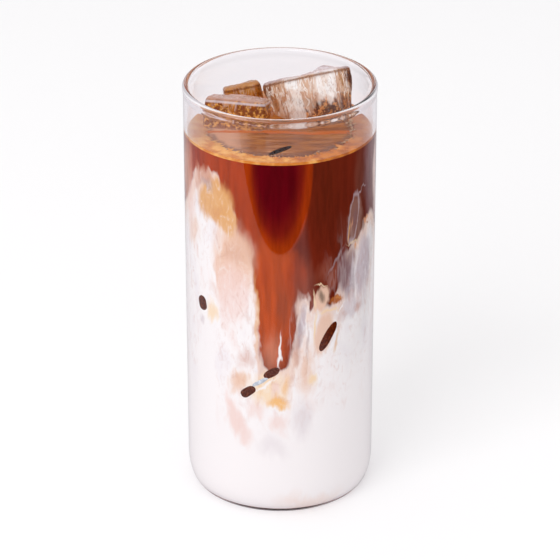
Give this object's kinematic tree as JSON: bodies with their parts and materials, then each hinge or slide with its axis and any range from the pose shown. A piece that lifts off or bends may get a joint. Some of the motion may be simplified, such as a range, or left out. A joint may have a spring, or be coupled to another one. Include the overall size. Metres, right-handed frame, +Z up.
{
  "type": "iced latte",
  "caption": "Iced latte in a tall clear tumbler: white milk rising into dark coffee, a ring of crema on the surface and clear ice standing proud of the drink.",
  "frame": {"origin": "middle of the glass's foot, on the surface it stands on", "axes": "+Z up the glass's axis, -Y towards the front, +X to the right"},
  "size_m": [0.0664, 0.0664, 0.1505],
  "materials": {
    "glass": "clear, polished, thin borosilicate wall with a fire-polished rim bead",
    "milk": "white cold milk with beige and pink clouds where it meets the coffee",
    "coffee": "clear dark espresso, garnet where deep and orange-brown where thin",
    "crema": "fine tan foam with small bubbles",
    "ice": "wet clear ice with melted corners"
  },
  "bodies": {
    "root": {"glass": "glass", "milk": "milk", "coffee": "coffee", "crema": "crema", "ice_right": "ice", "ice_left": "ice", "ice_back": "ice"}
  },
  "joints": []
}
